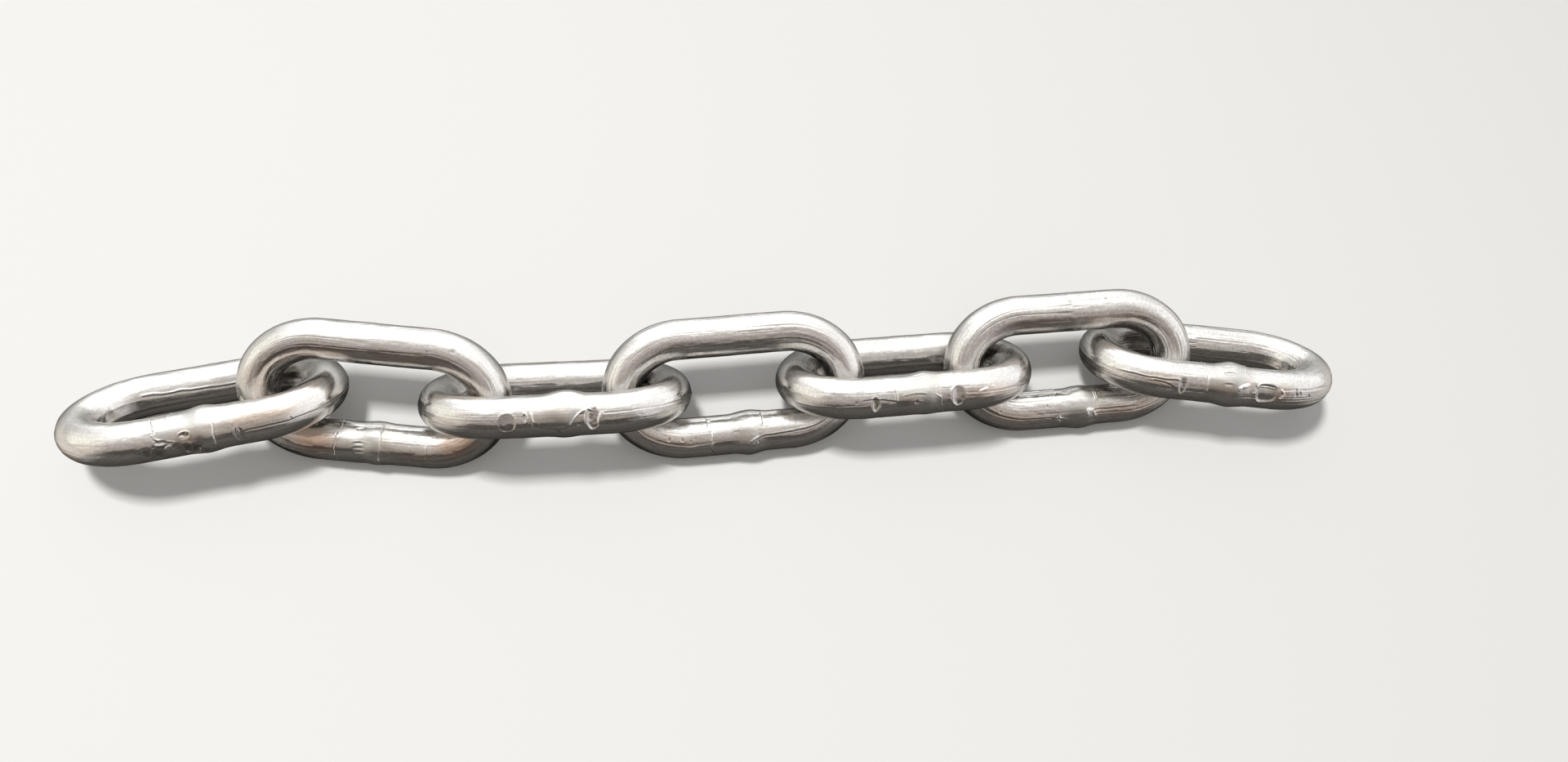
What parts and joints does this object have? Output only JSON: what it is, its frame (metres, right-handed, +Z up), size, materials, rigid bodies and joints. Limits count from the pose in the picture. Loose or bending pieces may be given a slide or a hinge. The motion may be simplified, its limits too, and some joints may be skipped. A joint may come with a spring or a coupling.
{
  "type": "welded link chain",
  "caption": "Short length of welded stainless steel chain: oval round-wire links hung in each other, lying in a line with alternate links leaning opposite ways.",
  "frame": {"origin": "bottom centre of the bounding box, on the plane the chain lies on", "axes": "+X along the chain from link_1 to link_7, +Y away from the welded legs, +Z up"},
  "size_m": [0.1888, 0.0211, 0.0163],
  "materials": {
    "stainless_wire": "satin to bright drawn wire with fine draw lines along it, duller and rougher round the butt weld"
  },
  "bodies": {
    "link_1": {"link_1": "stainless_wire"},
    "link_2": {"link_2": "stainless_wire"},
    "link_3": {"link_3": "stainless_wire"},
    "link_4": {"link_4": "stainless_wire"},
    "link_5": {"link_5": "stainless_wire"},
    "link_6": {"link_6": "stainless_wire"},
    "link_7": {"link_7": "stainless_wire"}
  },
  "joints": [
    {"name": "swing_2", "type": "hinge", "parent": "link_1", "child": "link_2", "pos_m": [-0.05832, 0.00124, 0.00813], "axis": [-0.1067, -0.6736, 0.7314], "range_deg": [-110, 110]},
    {"name": "swing_3", "type": "hinge", "parent": "link_2", "child": "link_3", "pos_m": [-0.0345, -0.00211, 0.00852], "axis": [0, -0.6691, -0.7431], "range_deg": [-110, 110]},
    {"name": "swing_4", "type": "hinge", "parent": "link_3", "child": "link_4", "pos_m": [-0.0086, -0.00107, 0.00759], "axis": [0.0263, -0.6012, 0.7986], "range_deg": [-110, 110]},
    {"name": "swing_5", "type": "hinge", "parent": "link_4", "child": "link_5", "pos_m": [0.01768, -0.00014, 0.00743], "axis": [-0.021, 0.6014, 0.7986], "range_deg": [-110, 110]},
    {"name": "swing_6", "type": "hinge", "parent": "link_5", "child": "link_6", "pos_m": [0.04359, 0.00074, 0.00744], "axis": [-0.0205, 0.5874, -0.809], "range_deg": [-110, 110]},
    {"name": "swing_7", "type": "hinge", "parent": "link_6", "child": "link_7", "pos_m": [0.0696, 0.001, 0.00697], "axis": [0.0923, 0.5515, 0.829], "range_deg": [-110, 110]}
  ]
}
